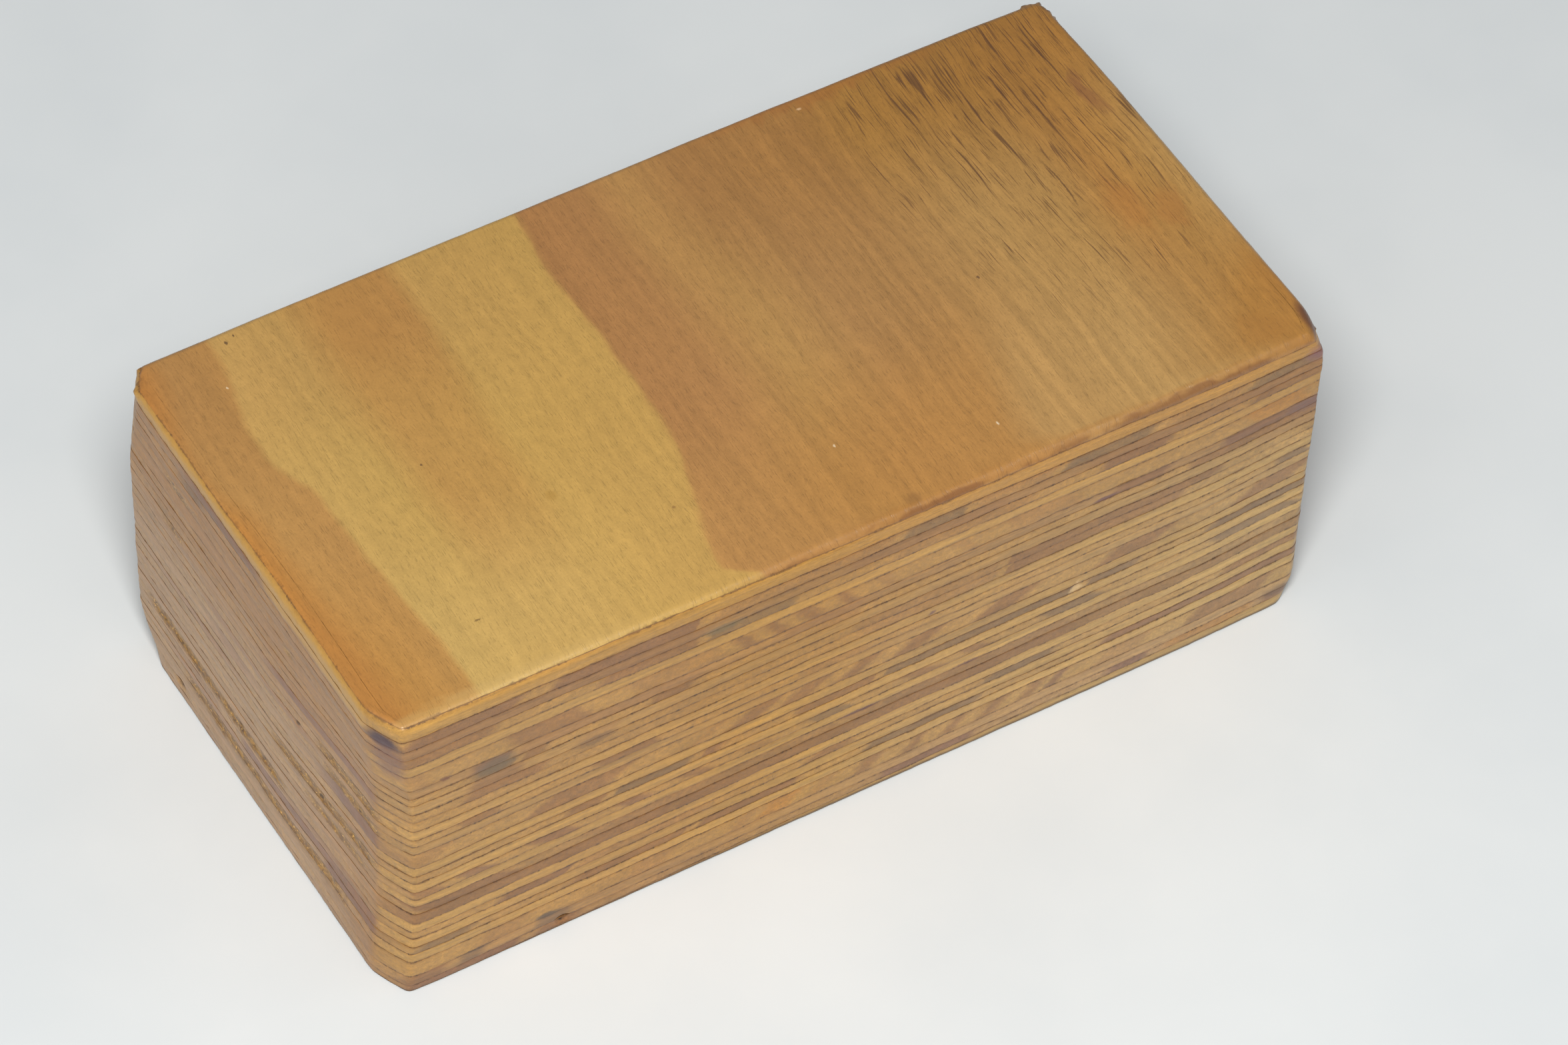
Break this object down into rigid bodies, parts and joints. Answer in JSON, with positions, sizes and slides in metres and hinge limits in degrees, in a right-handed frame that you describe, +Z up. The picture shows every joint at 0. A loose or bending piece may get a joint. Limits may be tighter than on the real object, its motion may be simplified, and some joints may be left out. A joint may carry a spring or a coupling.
{
  "type": "laminated plywood block",
  "caption": "Solid rectangular block of cross-banded plywood panels glued face to face, with worn upright corners and a sanded top edge. It rests flat and has no opening.",
  "frame": {"origin": "middle of the bottom face, on the surface that the block rests on", "axes": "+X along the length, to the right seen from the front, +Y from the front to the back, +Z up through the veneers"},
  "size_m": [0.2, 0.102, 0.076],
  "materials": {
    "face_veneer": "satin clear lacquer over sanded veneer, grain across the block",
    "cross_veneer": "sanded and lacquered, end grain on the long sides",
    "long_veneer": "sanded and lacquered, edge grain on the long sides",
    "resin": "dark cured adhesive film"
  },
  "bodies": {
    "root": {"upper_panel_ply_01": "face_veneer", "upper_panel_ply_02": "long_veneer", "upper_panel_ply_03": "cross_veneer", "upper_panel_ply_04": "long_veneer", "upper_panel_ply_05": "cross_veneer", "upper_panel_ply_06": "long_veneer", "upper_panel_ply_07": "cross_veneer", "upper_panel_ply_08": "long_veneer", "upper_panel_ply_09": "cross_veneer", "upper_panel_ply_10": "long_veneer", "upper_panel_ply_11": "cross_veneer", "upper_panel_glue_films": "resin", "upper_panel_lamination_glue": "resin", "middle_panel_ply_01": "cross_veneer", "middle_panel_ply_02": "long_veneer", "middle_panel_ply_03": "cross_veneer", "middle_panel_ply_04": "long_veneer", "middle_panel_ply_05": "cross_veneer", "middle_panel_ply_06": "long_veneer", "middle_panel_ply_07": "cross_veneer", "middle_panel_ply_08": "long_veneer", "middle_panel_ply_09": "cross_veneer", "middle_panel_ply_10": "long_veneer", "middle_panel_ply_11": "cross_veneer", "middle_panel_glue_films": "resin", "middle_panel_lamination_glue": "resin", "lower_panel_ply_01": "cross_veneer", "lower_panel_ply_02": "long_veneer", "lower_panel_ply_03": "cross_veneer", "lower_panel_ply_04": "long_veneer", "lower_panel_ply_05": "cross_veneer", "lower_panel_ply_06": "long_veneer", "lower_panel_ply_07": "cross_veneer", "lower_panel_ply_08": "long_veneer", "lower_panel_ply_09": "cross_veneer", "lower_panel_ply_10": "long_veneer", "lower_panel_glue_films": "resin"}
  },
  "joints": []
}
